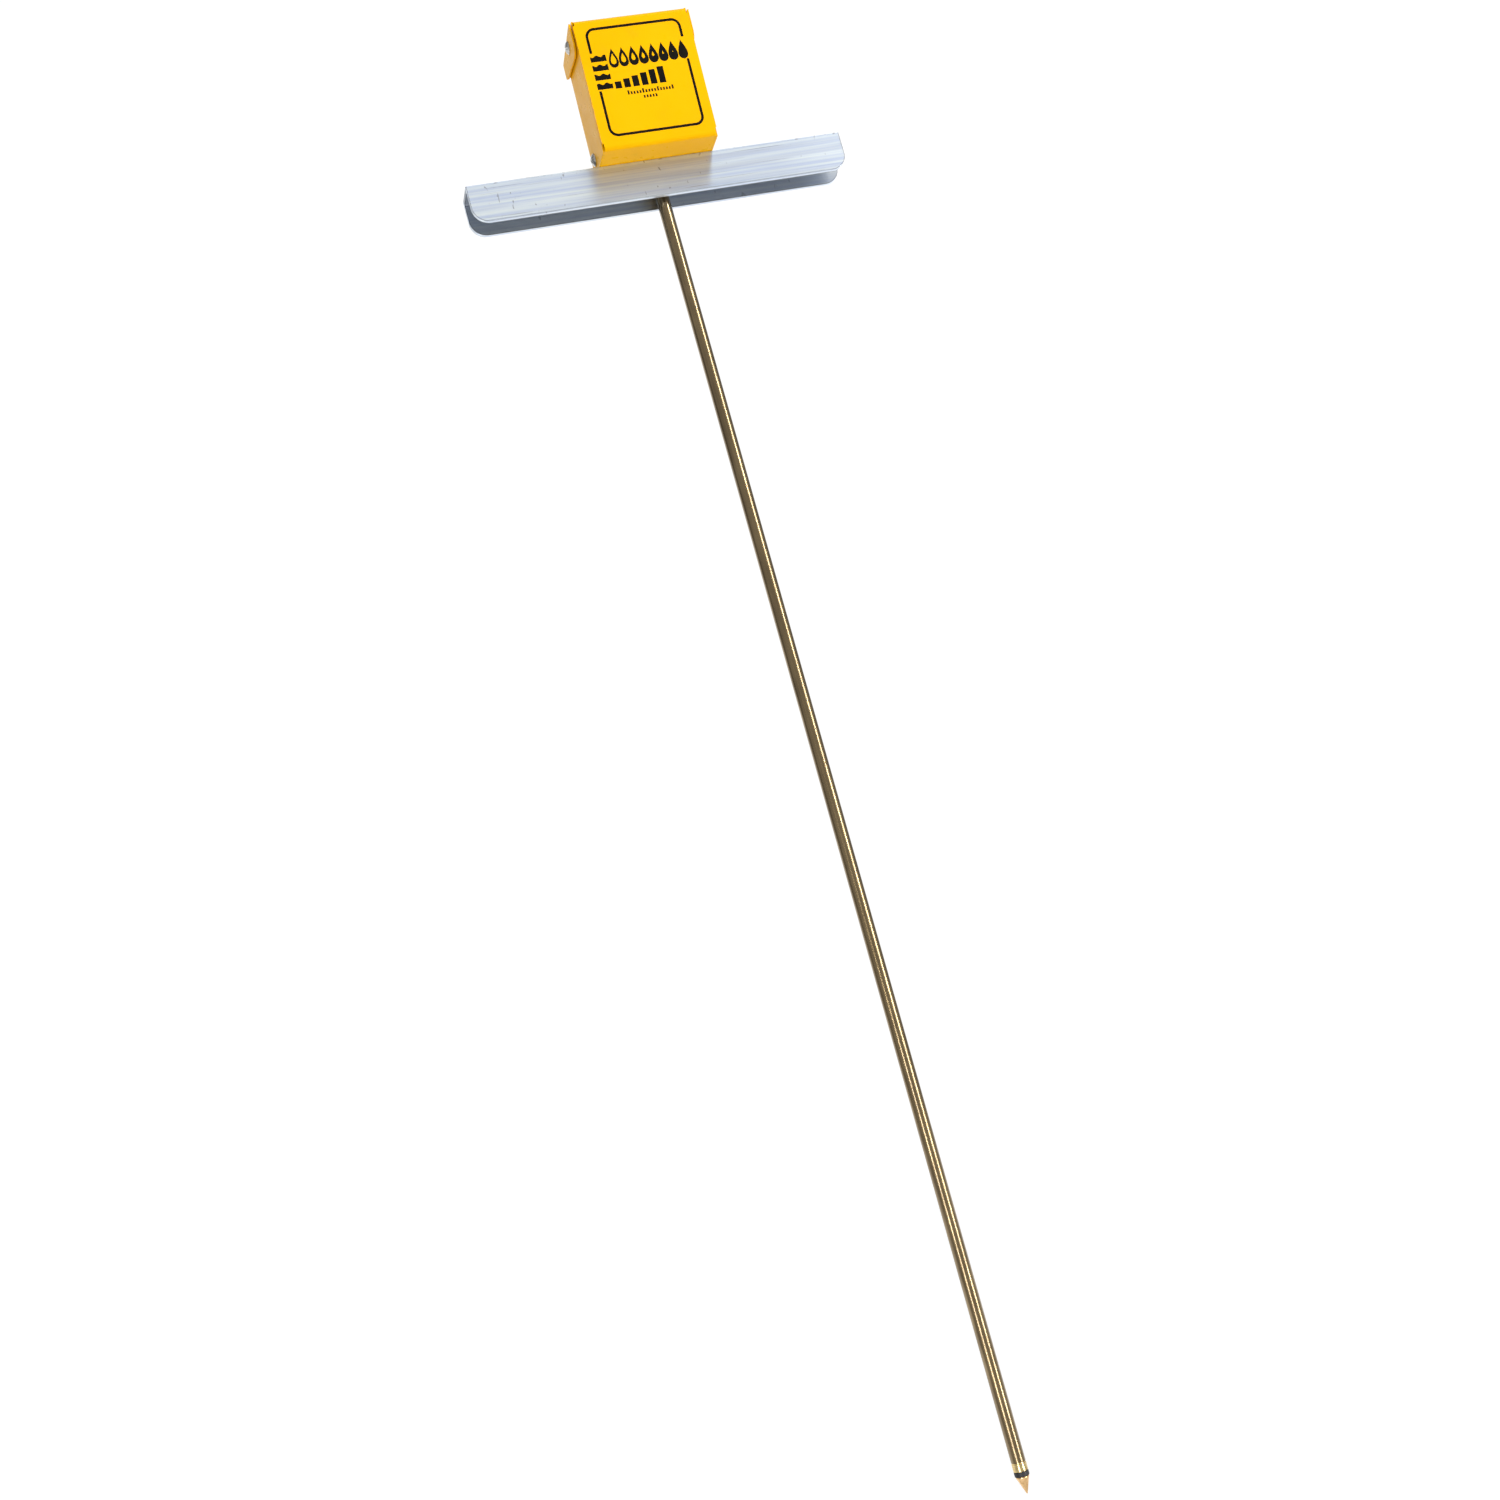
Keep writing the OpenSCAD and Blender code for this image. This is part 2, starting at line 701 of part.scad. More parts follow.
// A flat spiral, wound outwards from clear of the arbor
module hairspring() {
    turns = 3;
    steps = 16 * turns;
    strip_t = 0.15;
    inner_r = 1.1;
    pitch = 0.75;
    function at(i, r) = (inner_r + pitch * turns * i / steps + r) * [cos(22.5 * i), sin(22.5 * i)];
    color("silver") leaning() translate([0, 3.4, arbor_z]) rotate([90, 0, 0]) linear_extrude(0.4)
        polygon(concat([for (i = [0 : steps]) at(i, 0)], [for (i = [steps : -1 : 0]) at(i, strip_t)]));
}

module zero_adjuster() {
    color([0.2, 0.2, 0.22]) leaning() translate([0, 0, zero_z]) difference() {
        rod_y(box_back + 0.3, box_back + bezel_t, zero_r);
        translate([-3, box_back + bezel_t - 0.8, -0.3]) cube([6, 2, 0.6]);
    }
}

module meter_nuts() {
    inner = box_back - sheet_t;
    color("silver") leaning() for (x = [-1, 1], z = [-1, 1])
        translate([x * stud_xz, inner, meter_z + z * stud_xz]) rotate([90, 0, 0])
            hex_nut(5.5, stud_r + play, 2.4);
}

module meter_posts() {
    color("goldenrod") leaning() for (x = [-post_x, post_x]) translate([x, 0, post_z]) {
        rod_y(-21.5, -10.6, 1.5);
        rod_y(-11.6, -10.6, 3);
    }
}

module post_nuts() {
    color("goldenrod") leaning() for (x = [-post_x, post_x], y = [barrel_back, -17.8])
        translate([x, y, post_z]) rotate([90, 0, 0]) hex_nut(5.5, 1.5 + play, 2.4);
}

// ---- circuit and battery ----

module circuit_board() {
    color("darkgreen") leaning() difference() {
        translate([-board_w / 2, board_y - board_t / 2, board_low]) cube([board_w, board_t, board_h]);
        for (x = [-post_x, post_x]) translate([x, 0, post_z]) rod_y(board_y - 2, board_y + 2, 1.5 + play);
    }
}

module resistors() {
    color("tan") leaning() for (i = [0 : 2]) translate([0, -19.2, meter_z - 9 + i * 5]) {
        rod_x(-3.2, 3.2, 1.1);
        rod_x(-6, 6, 0.3);
        for (s = [-1, 1]) translate([s * 5.7, 0, 0]) rod_y(0, 1.4, 0.3);
    }
}

module calibration_pot() {
    inner = box_back - sheet_t;
    color("steelblue") leaning() translate([pot_x, 0, pot_z]) difference() {
        union() {
            rod_y(inner - 7, inner, pot_body / 2);
            rod_y(inner, box_back + 2.4, pot_thread_r);
        }
        rod_y(inner - 6, box_back + 3, pot_shaft_r + play);
    }
}

module pot_nut() {
    color("silver") leaning() translate([pot_x, box_back, pot_z]) rotate([-90, 0, 0])
        hex_nut(9, pot_thread_r + play, 1.8);
}

module calibration_shaft() {
    color("silver") leaning() translate([pot_x, 0, pot_z]) difference() {
        rod_y(box_back - sheet_t - 5.8, box_back + 2.3, pot_shaft_r);
        translate([-3, box_back + 1.4, -0.3]) cube([6, 2, 0.6]);
    }
}

module battery() {
    color("darkslategray") translate([0, cell_y, cell_z]) {
        rod_x(-cell_l / 2, cell_l / 2 - 1, cell_r);
        rod_x(cell_l / 2 - 1, cell_l / 2, 2.7);
    }
}

module battery_holder() {
    w = 2 * cell_r + 3;
    color("black") difference() {
        translate([-holder_l / 2, cell_y - w / 2, floor_top]) cube([holder_l, w, 13]);
        translate([-holder_l / 2 + 1.2, cell_y - w / 2 + 1.2, floor_top + 1.2])
            cube([holder_l - 2.4, w - 2.4, 13]);
    }
}

module battery_contacts() {
    color("silver") for (s = [-1, 1]) translate([s * (holder_l / 2 - 1.8), cell_y, 0]) {
        translate([-0.3, -5, floor_top + 1.4]) cube([0.6, 10, 12]);
        for (i = [0 : 2]) translate([-s * (0.5 + i * 1.1), 0, cell_z]) rotate([0, 90, 0])
            translate([0, 0, -0.25]) ring(4 - i * 0.6, 3.2 - i * 0.6, 0.5);
    }
}

module battery_leads() {
    contact_x = holder_l / 2 - 1.8;
    color("red") for (s = [-1, 1]) wire([[s * contact_x, cell_y + 4, floor_top + 13.5],
        on_box([s * contact_x, cell_y + 4, board_low - 8]), on_box([s * 19, board_y - 2.5, board_low]),
        on_box([s * 17, board_y - 1.8, board_low + 3])], wire_r);
}

module probe_lead() {
    z = terminal_z + 3.8;
    color("white") wire([[-13, 0, z], [-20, 0, z], [-24, -4, z + 4], on_box([-20, -26, board_low]),
        on_box([-post_x, -26, post_z - 6]), on_box([-post_x, -22.5, post_z])], wire_r);
}

module ground_lead() {
    z = floor_top + 1.6;
    color("black") wire([[17, 0, z], [20, -2, z + 0.4], [22, -6, z + 14.4], on_box([20, -26, board_low]),
        on_box([post_x, -26, post_z - 6]), on_box([post_x, -22.5, post_z])], wire_r);
}

handle_channel();
floor_rivets();
probe_tube();
end_collar();
tip_insulator();
tip_electrode();
conductor_rod();
conductor_sleeve();
probe_bushing();
ground_lug();
lock_washer();
probe_nut();
terminal_washer();
terminal_nuts();
terminal_lug();
front_cover();
rear_housing();
side_screws();
clinch_nuts();
pivot_screws();
pivot_washers();
pivot_nuts();
dial_cover();
cover_bumpers();
meter_case();
meter_bezel();
meter_window();
dial_plate();
meter_magnet();
magnet_core();
front_bridge();
rear_bridge();
pointer();
pointer_coil();
hairspring();
zero_adjuster();
meter_nuts();
meter_posts();
post_nuts();
circuit_board();
resistors();
calibration_pot();
pot_nut();
calibration_shaft();
battery();
battery_holder();
battery_contacts();
battery_leads();
probe_lead();
ground_lead();
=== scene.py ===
"""The looks of the soil moisture meter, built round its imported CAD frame.

Units are metres, in the frame of the CAD: +Z up the probe, +X along the handle, -Y the label side.
"""
import json
import math

import bmesh
import bpy
from mathutils import Matrix, Vector


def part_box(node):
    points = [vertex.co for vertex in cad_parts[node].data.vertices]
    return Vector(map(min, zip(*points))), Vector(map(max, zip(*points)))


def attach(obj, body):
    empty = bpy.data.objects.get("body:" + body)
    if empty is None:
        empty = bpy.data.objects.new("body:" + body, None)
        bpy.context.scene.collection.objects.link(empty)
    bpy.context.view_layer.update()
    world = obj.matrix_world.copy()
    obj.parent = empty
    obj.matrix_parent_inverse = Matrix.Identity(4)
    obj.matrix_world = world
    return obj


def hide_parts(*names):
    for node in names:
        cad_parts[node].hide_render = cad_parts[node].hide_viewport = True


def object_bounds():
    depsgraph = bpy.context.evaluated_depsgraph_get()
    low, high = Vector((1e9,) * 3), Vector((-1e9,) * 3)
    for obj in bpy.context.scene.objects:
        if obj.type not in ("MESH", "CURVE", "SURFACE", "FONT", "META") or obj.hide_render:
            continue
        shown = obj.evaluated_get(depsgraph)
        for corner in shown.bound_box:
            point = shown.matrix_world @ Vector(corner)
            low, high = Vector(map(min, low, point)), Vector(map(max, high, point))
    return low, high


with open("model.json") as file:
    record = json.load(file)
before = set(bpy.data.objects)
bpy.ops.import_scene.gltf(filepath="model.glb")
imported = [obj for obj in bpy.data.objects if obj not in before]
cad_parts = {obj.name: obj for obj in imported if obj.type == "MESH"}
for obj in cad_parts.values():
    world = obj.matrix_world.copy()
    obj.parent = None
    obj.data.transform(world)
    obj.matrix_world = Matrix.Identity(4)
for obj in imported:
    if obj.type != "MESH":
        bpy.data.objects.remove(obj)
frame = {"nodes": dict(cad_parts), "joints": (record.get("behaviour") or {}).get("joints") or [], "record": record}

CAD_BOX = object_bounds()
MM = 0.001
ROOT = "probe_and_box"
NODES = frame["nodes"]


# ---------------------------------------------------------------- places, from the frame

CHANNEL_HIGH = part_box("handle_channel")[1]
TUBE_LOW, TUBE_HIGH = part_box("probe_tube")
TUBE_R = TUBE_HIGH.x
JOINTS = {joint["name"]: joint for joint in frame["joints"]}
HINGE = Vector(JOINTS["dial_cover_hinge"]["pos_m"])
ARBOR = Vector(JOINTS["pointer_swing"]["pos_m"])

# The box leans. These are its own directions, and the pointer's axis gives them.
ACROSS = Vector((1, 0, 0))
FORWARD = Vector(JOINTS["pointer_swing"]["axis"])
UPWARD = ACROSS.cross(-FORWARD)


# ---------------------------------------------------------------- materials

# The colour sockets of a Mix node, which has a set of sockets for each type of data.
MIX_A, MIX_B, MIX_RESULT = 6, 7, 2

# How far a rounded normal turns from the true one, as a cosine: on a flat face, on a sharp edge.
FLAT, SHARP = 0.995, 0.85


class Shader:
    """A node material: a Principled shader, fed by textures in the object's own coordinates.

    Texture scales are in features per metre, so that 1000 makes a grain of about 1 mm.
    """

    def __init__(self, name, color, roughness, metallic=0.0):
        self.material = bpy.data.materials.new(name)
        self.material.use_nodes = True
        self.tree = self.material.node_tree
        self.shader = self.tree.nodes["Principled BSDF"]
        self.coordinates = self.add("ShaderNodeTexCoord").outputs["Object"]
        self.set("Base Color", color)
        self.set("Roughness", roughness)
        self.set("Metallic", metallic)

    def add(self, kind, **settings):
        node = self.tree.nodes.new(kind)
        for key, value in settings.items():
            setattr(node, key, value)
        return node

    def feed(self, socket, value):
        """Links a socket to another's output, or sets its value."""
        if isinstance(value, bpy.types.NodeSocket):
            self.tree.links.new(value, socket)
        elif isinstance(value, tuple) and len(value) == 3 and len(socket.default_value) == 4:
            socket.default_value = (*value, 1.0)
        else:
            socket.default_value = value

    def set(self, name, value):
        self.feed(self.shader.inputs[name], value)

    def stretched(self, stretch):
        """The coordinates times an amount per axis. A small one draws the texture out along it."""
        mapping = self.add("ShaderNodeMapping")
        mapping.inputs["Scale"].default_value = stretch
        self.feed(mapping.inputs["Vector"], self.coordinates)
        return mapping.outputs["Vector"]

    def noise(self, scale, detail, stretch=None, distortion=0.0):
        node = self.add("ShaderNodeTexNoise")
        node.inputs["Scale"].default_value = scale
        node.inputs["Detail"].default_value = detail
        node.inputs["Distortion"].default_value = distortion
        self.feed(node.inputs["Vector"], self.stretched(stretch) if stretch else self.coordinates)
        return node.outputs["Fac"]

    def remap(self, value, low, high, to_low=0.0, to_high=1.0):
        """Takes low to to_low and high to to_high, and holds what lies beyond them."""
        node = self.add("ShaderNodeMapRange")
        for name, amount in {"Value": value, "From Min": low, "From Max": high,
                             "To Min": to_low, "To Max": to_high}.items():
            self.feed(node.inputs[name], amount)
        return node.outputs["Result"]

    def maths(self, operation, a, b=0.0):
        node = self.add("ShaderNodeMath", operation=operation)
        self.feed(node.inputs[0], a)
        self.feed(node.inputs[1], b)
        return node.outputs["Value"]

    def mix(self, factor, a, b):
        node = self.add("ShaderNodeMix", data_type="RGBA")
        self.feed(node.inputs["Factor"], factor)
        self.feed(node.inputs[MIX_A], a)
        self.feed(node.inputs[MIX_B], b)
        return node.outputs[MIX_RESULT]

    def axis(self, name):
        node = self.add("ShaderNodeSeparateXYZ")
        self.feed(node.inputs["Vector"], self.coordinates)
        return node.outputs[name]

    def true_normal(self):
        return self.add("ShaderNodeNewGeometry").outputs["Normal"]

    def edges(self, radius):
        """Near 1 along sharp edges, 0 on flat faces."""
        bevel = self.add("ShaderNodeBevel", samples=6)
        bevel.inputs["Radius"].default_value = radius
        dot = self.add("ShaderNodeVectorMath", operation="DOT_PRODUCT")
        self.feed(dot.inputs[0], bevel.outputs["Normal"])
        self.feed(dot.inputs[1], self.true_normal())
        return self.remap(dot.outputs["Value"], FLAT, SHARP)

    def bump(self, height, distance, strength, below=None):
        """Raises the surface by a texture, on top of the bump below if there is one."""
        node = self.add("ShaderNodeBump")
        node.inputs["Strength"].default_value = strength
        node.inputs["Distance"].default_value = distance
        self.feed(node.inputs["Height"], height)
        if below is not None:
            self.feed(node.inputs["Normal"], below)
        self.set("Normal", node.outputs["Normal"])
        return node.outputs["Normal"]


def yellow_enamel():
    """Semi-gloss enamel on sheet steel: orange peel, fine rubs, faint stains, and chipped edges."""
    light, dark = (0.89, 0.450, 0.001), (0.85, 0.415, 0.001)
    stained, chipped = (0.66, 0.36, 0.01), (0.30, 0.22, 0.10)
    s = Shader("yellow_paint", (0.88, 0.45, 0.001), 0.3)

    color = s.mix(s.remap(s.noise(22, 3), 0.35, 0.7), light, dark)
    color = s.mix(s.remap(s.noise(90, 8), 0.62, 0.78, 0.0, 0.3), color, stained)
    chips = s.maths("MULTIPLY", s.edges(0.5 * MM), s.remap(s.noise(420, 4), 0.52, 0.6, 0.0, 0.8))
    s.set("Base Color", s.mix(chips, color, chipped))

    s.set("Roughness", s.remap(s.noise(160, 5), 0.3, 0.75, 0.26, 0.42))
    s.set("Specular Tint", (1.0, 0.72, 0.12))
    s.set("Specular IOR Level", 0.15)
    peel = s.bump(s.noise(900, 2), 0.04 * MM, 0.35)
    rubs = s.remap(s.noise(1, 2, stretch=(60, 60, 1400)), 0.66, 0.74)
    s.bump(rubs, 0.02 * MM, 0.3, peel)
    return s.material


def mill_aluminium():
    """Mill-finish channel: drawn lines along X, scratches, dents, nicked edges, painted shade inside, and a
    painted dark outline along its edges.
    """
    bright, cool, streaked = (0.90, 0.97, 1.0), (0.66, 0.75, 0.92), (0.56, 0.62, 0.75)
    scratched, dented, nicked = (0.26, 0.27, 0.32), (0.25, 0.26, 0.31), (0.10, 0.10, 0.13)
    # the last two tones are painted: shade inside the channel, and a dark outline along the edges
    inside_shade, edge_shade = (0.40, 0.42, 0.45), (0.10, 0.105, 0.125)
    s = Shader("mill_aluminium", (0.80, 0.86, 0.97), 0.42, 1.0)

    lines = s.noise(1, 6, stretch=(7, 500, 500))
    streaks = s.noise(1, 3, stretch=(5, 160, 160))
    color = s.mix(s.remap(lines, 0.35, 0.65), cool, bright)
    color = s.mix(s.remap(streaks, 0.45, 0.65, 0.0, 0.45), color, streaked)

    scratches = s.remap(s.noise(1, 1, stretch=(14, 1500, 1500), distortion=0.3), 0.70, 0.75)
    color = s.mix(s.maths("MULTIPLY", scratches, 0.8), color, scratched)
    dents = s.remap(s.noise(1, 2, stretch=(300, 300, 120), distortion=0.8), 0.70, 0.74, 0.0, 0.7)
    color = s.mix(dents, color, dented)

    # nicks along the two top edges
    near_top = s.remap(s.axis("Z"), CHANNEL_HIGH.z - 1.6 * MM, CHANNEL_HIGH.z - 0.3 * MM)
    spots = s.remap(s.noise(1, 3, stretch=(170, 420, 420)), 0.60, 0.64)
    nicks = s.maths("MULTIPLY", near_top, spots)
    color = s.mix(s.maths("MULTIPLY", nicks, 0.9), color, nicked)

    # painted shade: darker away from the flanges' outer faces, inside the channel and on its top
    off_centre = s.maths("ABSOLUTE", s.axis("Y"))
    inside = s.remap(off_centre, CHANNEL_HIGH.y - 2.6 * MM, CHANNEL_HIGH.y - 3.0 * MM, 0.0, 0.55)
    color = s.mix(inside, color, inside_shade)

    # a painted dark outline of shade along the sharp edges, broken up a little by noise
    outline_breaks = s.remap(s.noise(90, 4), 0.2, 0.6, 0.6, 1.0)
    s.set("Base Color", s.mix(s.maths("MULTIPLY", s.edges(1.3 * MM), outline_breaks), color, edge_shade))

    smudges = s.remap(s.noise(28, 5), 0.4, 0.7, 0.0, 0.04)
    s.set("Roughness", s.maths("ADD", s.remap(lines, 0.3, 0.7, 0.30, 0.36), smudges))

    # the grain runs along X, so reflections are drawn out across it
    s.set("Anisotropic", 0.97)
    across = s.add("ShaderNodeVectorMath", operation="CROSS_PRODUCT")
    s.feed(across.inputs[0], s.true_normal())
    across.inputs[1].default_value = ACROSS
    s.set("Tangent", across.outputs["Vector"])
    s.bump(s.maths("SUBTRACT", lines, s.maths("ADD", scratches, nicks)), 0.03 * MM, 0.25)
    return s.material


def aged_brass():
    """Drawn brass tube, olive-brown from the soil: a mottled skin, lengthwise rubs, dark spots."""
    light, dark = (0.29, 0.205, 0.095), (0.18, 0.122, 0.052)
    rubbed, spotted = (0.45, 0.33, 0.16), (0.07, 0.05, 0.025)
    s = Shader("aged_brass", (0.22, 0.155, 0.07), 0.2, 1.0)

    mottle = s.remap(s.noise(1, 5, stretch=(170, 170, 45)), 0.35, 0.68)
    rubs = s.remap(s.noise(1, 3, stretch=(900, 900, 6)), 0.4, 0.7, 0.0, 0.25)
    spots = s.remap(s.noise(420, 6), 0.66, 0.74, 0.0, 0.5)
    color = s.mix(rubs, s.mix(mottle, light, dark), rubbed)
    s.set("Base Color", s.mix(spots, color, spotted))

    s.set("Roughness", s.remap(mottle, 0.0, 1.0, 0.24, 0.28))
    s.set("Coat Weight", 1.0)
    s.set("Coat Roughness", 0.12)
    s.bump(s.noise(1, 2, stretch=(500, 500, 12)), 0.01 * MM, 0.06)
    return s.material


def turned_metal(name, light, dark, roughness):
    """Metal turned round the probe's axis: fine rings, a slight tarnish."""
    s = Shader(name, light, roughness, 1.0)
    rings = s.noise(1, 3, stretch=(40, 40, 3500))
    s.set("Base Color", s.mix(s.remap(s.noise(260, 5), 0.45, 0.75), light, dark))
    s.set("Roughness", s.remap(rings, 0.3, 0.7, roughness - 0.07, roughness + 0.10))
    s.bump(rings, 0.02 * MM, 0.25)
    return s.material


def plated(name, light, dark, roughness):
    """Plated or ground metal with a cloudy, slightly grimy surface."""
    s = Shader(name, light, roughness, 1.0)
    s.set("Base Color", s.mix(s.remap(s.noise(350, 5), 0.4, 0.72), light, dark))
    s.set("Roughness", s.remap(s.noise(900, 3), 0.3, 0.7, roughness - 0.06, roughness + 0.14))
    s.bump(s.noise(1500, 3), 0.02 * MM, 0.2)
    return s.material


def moulded(name, light, dark, roughness, grain=700, depth=0.03 * MM, gloss=0.5):
    """Moulded plastic, rubber, lacquer or ink: a fine grain and slightly uneven gloss."""
    s = Shader(name, light, roughness)
    s.set("Base Color", s.mix(s.remap(s.noise(120, 4), 0.35, 0.7), light, dark))
    s.set("Roughness", s.remap(s.noise(grain, 3), 0.3, 0.7, roughness - 0.08, roughness + 0.08))
    s.set("Specular IOR Level", gloss)
    s.bump(s.noise(grain, 2), depth, 0.3)
    return s.material


def clear_plastic():
    """The meter's window: see-through, with a faint haze of rubbing."""
    s = Shader("clear_window", (0.9, 0.94, 0.95), 0.06)
    s.set("Alpha", 0.16)
    s.set("Roughness", s.remap(s.noise(300, 5), 0.4, 0.75, 0.03, 0.16))
    s.bump(s.noise(1, 2, stretch=(1200, 60, 200)), 0.01 * MM, 0.1)
    return s.material


def coil_winding():
    """Enamelled wire laid side by side round the pointer's coil."""
    s = Shader("copper_coil", (0.55, 0.22, 0.07), 0.3, 0.8)
    wave = s.add("ShaderNodeTexWave", wave_type="BANDS", bands_direction="DIAGONAL")
    wave.inputs["Scale"].default_value = 900
    s.feed(wave.inputs["Vector"], s.coordinates)
    # the dark bands are painted shade in the grooves between the turns
    s.set("Base Color", s.mix(wave.outputs["Fac"], (0.20, 0.07, 0.02), (0.65, 0.28, 0.09)))
    s.bump(wave.outputs["Fac"], 0.1 * MM, 0.6)
    return s.material


# Each finish has a light tone, a dark tone and a roughness.
TURNED = {
    "collar_brass": ((0.85, 0.66, 0.32), (0.48, 0.33, 0.13), 0.22),
    "tip_bronze": ((0.90, 0.60, 0.30), (0.55, 0.32, 0.12), 0.24),
    "brass_parts": ((0.80, 0.60, 0.27), (0.45, 0.30, 0.11), 0.3),
}
PLATED = {
    "nickel_plate": ((0.66, 0.65, 0.62), (0.30, 0.29, 0.27), 0.26),
    "magnet_iron": ((0.30, 0.30, 0.32), (0.14, 0.14, 0.15), 0.4),
}

# These may add the grain's scale, its depth and the gloss.
FINE = 0.01 * MM
MOULDED = {
    "black_plastic": ((0.022, 0.022, 0.024), (0.012, 0.012, 0.013), 0.5),
    "black_bakelite": ((0.020, 0.020, 0.022), (0.010, 0.010, 0.011), 0.28, 500),
    "black_rubber": ((0.025, 0.025, 0.025), (0.015, 0.015, 0.015), 0.75, 1500),
    "white_nylon": ((0.82, 0.80, 0.74), (0.72, 0.69, 0.60), 0.45),
    "dial_white": ((0.86, 0.85, 0.80), (0.82, 0.80, 0.73), 0.6, 1200, FINE),
    "pointer_black": ((0.02, 0.02, 0.02), (0.03, 0.03, 0.03), 0.5, 2000),
    "board_green": ((0.03, 0.17, 0.07), (0.02, 0.10, 0.045), 0.35, 300),
    "resistor_tan": ((0.56, 0.42, 0.26), (0.45, 0.31, 0.18), 0.4, 900),
    "pot_blue": ((0.07, 0.19, 0.42), (0.05, 0.14, 0.33), 0.45),
    "cell_jacket": ((0.05, 0.10, 0.12), (0.03, 0.06, 0.07), 0.3),
    "red_wire": ((0.50, 0.03, 0.02), (0.38, 0.02, 0.015), 0.45),
    "white_wire": ((0.76, 0.75, 0.70), (0.66, 0.64, 0.58), 0.45),
    "black_wire": ((0.02, 0.02, 0.02), (0.03, 0.03, 0.03), 0.45),
    "label_ink": ((0.004, 0.0035, 0.003), (0.009, 0.007, 0.004), 0.42, 600, FINE, 0.06),
    "dial_ink": ((0.015, 0.015, 0.016), (0.03, 0.03, 0.03), 0.55, 1500, FINE),
    "band_dry": ((0.62, 0.05, 0.03), (0.54, 0.04, 0.03), 0.55, 1500, FINE),
    "band_moist": ((0.05, 0.34, 0.08), (0.04, 0.28, 0.07), 0.55, 1500, FINE),
    "band_wet": ((0.03, 0.16, 0.50), (0.03, 0.13, 0.42), 0.55, 1500, FINE),
}
MATERIALS = {
    "yellow_paint": yellow_enamel(),
    "mill_aluminium": mill_aluminium(),
    "aged_brass": aged_brass(),
    "clear_window": clear_plastic(),
    "copper_coil": coil_winding(),
}
for finish, names in ((turned_metal, TURNED), (plated, PLATED), (moulded, MOULDED)):
    for name, look in names.items():
        MATERIALS[name] = finish(name, *look)

for part in frame["record"]["subparts"]:
    mesh = NODES[part["node"]].data
    mesh.materials.clear()
    mesh.materials.append(MATERIALS[part["material_slot"]])


# ---------------------------------------------------------------- meshes

def linked(name, data):
    """A new object in the scene."""
    piece = bpy.data.objects.new(name, data)
    bpy.context.scene.collection.objects.link(piece)
    return piece


def new_piece(name, mesh, material):
    """A finished mesh as a piece that rides on the root body."""
    mesh.materials.clear()
    mesh.materials.append(material)
    piece = linked(name, mesh)
    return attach(piece, ROOT)


SHARP_FROM = math.radians(32)       # edges that turn further than this are rounded
WELD_WITHIN = 0.002 * MM

# How wide the rounding of each CAD node's edges is, in mm.
SOFTENED = {
    "handle_channel": 0.25, "front_cover": 0.2, "dial_cover": 0.2, "meter_bezel": 0.4,
    "side_screws": 0.12, "pivot_screws": 0.12, "pot_nut": 0.12, "cover_bumpers": 0.3,
    "probe_bushing": 0.15,
}


def soften(node, width):
    """Rounds a CAD node's sharp edges with modifiers. Its own mesh stays as it is."""
    piece = NODES[node]
    piece.modifiers.new("weld", "WELD").merge_threshold = WELD_WITHIN
    bevel = piece.modifiers.new("bevel", "BEVEL")
    bevel.width = width
    bevel.segments = 2
    bevel.limit_method = "ANGLE"
    bevel.angle_limit = SHARP_FROM
    bevel.use_clamp_overlap = True
    piece.modifiers.new("normals", "WEIGHTED_NORMAL")


LATHE_SEGMENTS = 96
LATHE_SHARP = math.radians(28)      # edges that turn further than this are shaded as sharp


def lathe(name, profile, slot):
    """A solid turned round the Z axis. The profile is a closed loop of (radius, height) points."""
    builder = bmesh.new()
    turns = [2 * math.pi * k / LATHE_SEGMENTS for k in range(LATHE_SEGMENTS)]
    rings = [[builder.verts.new((r * math.cos(a), r * math.sin(a), height)) for a in turns]
             for r, height in profile]
    for lower, upper in zip(rings, rings[1:] + rings[:1]):
        for k in range(LATHE_SEGMENTS):
            following = (k + 1) % LATHE_SEGMENTS
            builder.faces.new((lower[k], lower[following], upper[following], upper[k]))
    bmesh.ops.remove_doubles(builder, verts=builder.verts, dist=0.001 * MM)
    bmesh.ops.recalc_face_normals(builder, faces=builder.faces)
    mesh = bpy.data.meshes.new(name)
    builder.to_mesh(mesh)
    builder.free()
    mesh.shade_smooth()
    mesh.set_sharp_from_angle(angle=LATHE_SHARP)
    return new_piece(name, mesh, MATERIALS[slot])


# The faces that carry print. The columns are right, up and outwards, as the reader sees them.
LABEL_FACE = Matrix((ACROSS, UPWARD, FORWARD)).transposed().to_4x4()
DIAL_FACE = Matrix((-ACROSS, UPWARD, -FORWARD)).transposed().to_4x4()
INK_THICKNESS = 0.02 * MM


def as_print(name, curve, face, origin, ink):
    """Turns a curve or text into a mesh that lies on a face, with (0, 0) at origin."""
    curve.extrude = INK_THICKNESS / 2
    maker = linked(name + "_maker", curve)
    bpy.context.view_layer.update()
    made = maker.evaluated_get(bpy.context.evaluated_depsgraph_get())
    mesh = bpy.data.meshes.new_from_object(made)
    bpy.data.objects.remove(maker)
    outward = Vector(face.col[2][:3])
    mesh.transform(Matrix.Translation(Vector(origin) + outward * INK_THICKNESS / 2) @ face)
    mesh.name = name
    return new_piece(name, mesh, MATERIALS[ink])


def printed(name, outlines, face, origin, ink):
    """Flat print on a face: closed outlines of (right, up) points. One inside another is a hole."""
    curve = bpy.data.curves.new(name, "CURVE")
    curve.dimensions = "2D"
    curve.fill_mode = "BOTH"
    for outline in outlines:
        spline = curve.splines.new("POLY")
        spline.points.add(len(outline) - 1)
        spline.use_cyclic_u = True
        for point, (right, up) in zip(spline.points, outline):
            point.co = (right, up, 0.0, 1.0)
    return as_print(name, curve, face, origin, ink)


ARC_STEP = 4        # degrees, or a little more


